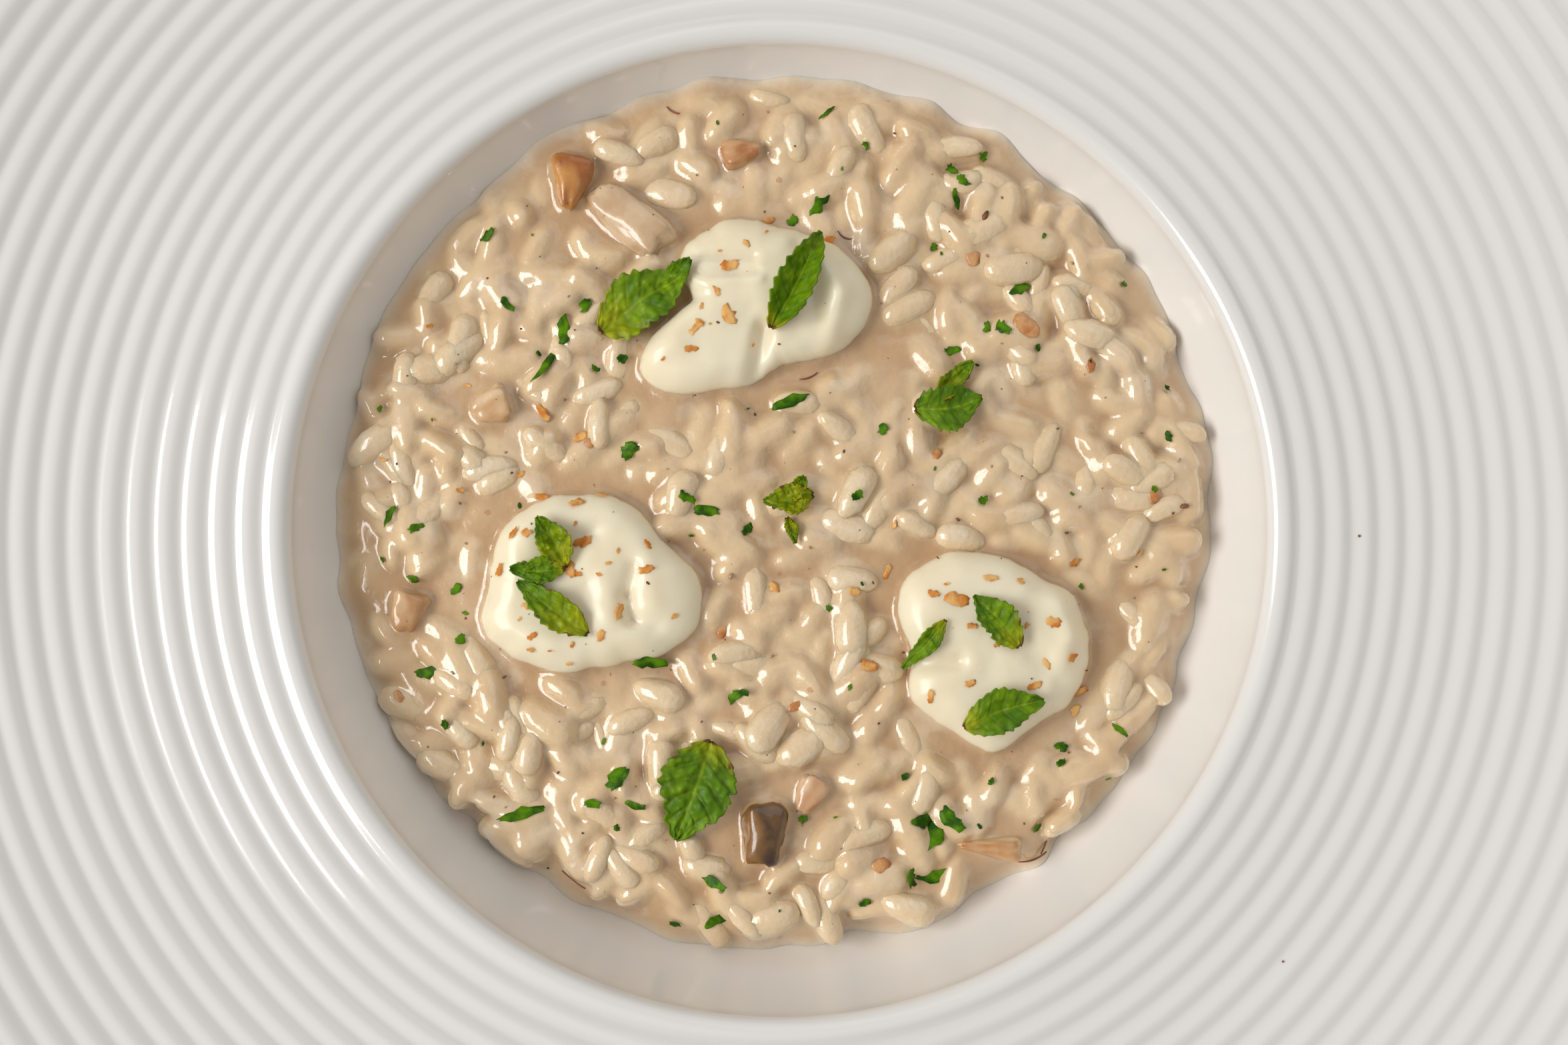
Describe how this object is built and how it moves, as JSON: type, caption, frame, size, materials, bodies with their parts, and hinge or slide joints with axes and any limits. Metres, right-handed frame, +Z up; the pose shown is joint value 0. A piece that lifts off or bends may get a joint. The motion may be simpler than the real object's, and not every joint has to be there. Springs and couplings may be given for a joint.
{
  "type": "bowl of risotto",
  "caption": "Wide-rimmed ribbed white porcelain plate with a deep well of risotto, cream dollops, mint leaves, mushroom pieces and parsley.",
  "frame": {"origin": "on the table surface, under the middle of the foot ring", "axes": "+Z up along the plate's axis of turning, +Y towards the back edge as the picture shows the plate, +X to the right"},
  "size_m": [0.305, 0.305, 0.0484],
  "materials": {
    "porcelain": "smooth white glaze",
    "risotto": "glossy creamy sauce on cooked rice grains",
    "cream": "soft satin cream",
    "mint": "fresh leaf, slightly glossy",
    "mushroom": "cooked, moist"
  },
  "bodies": {
    "root": {"bowl": "porcelain", "risotto": "risotto", "cream_back": "cream", "cream_left": "cream", "cream_right": "cream", "mint_back": "mint", "mint_back_left": "mint", "mint_back_right": "mint", "mint_middle": "mint", "mint_left_upper": "mint", "mint_left_lower": "mint", "mint_right_upper": "mint", "mint_right_narrow": "mint", "mint_right_lower": "mint", "mint_front": "mint", "mushroom_back_cap": "mushroom", "mushroom_back_small": "mushroom", "mushroom_back_slice": "mushroom", "mushroom_front_dark": "mushroom", "mushroom_front_pale": "mushroom", "mushroom_left_block": "mushroom", "mushroom_left_edge": "mushroom", "mushroom_front_wedge": "mushroom"}
  },
  "joints": []
}
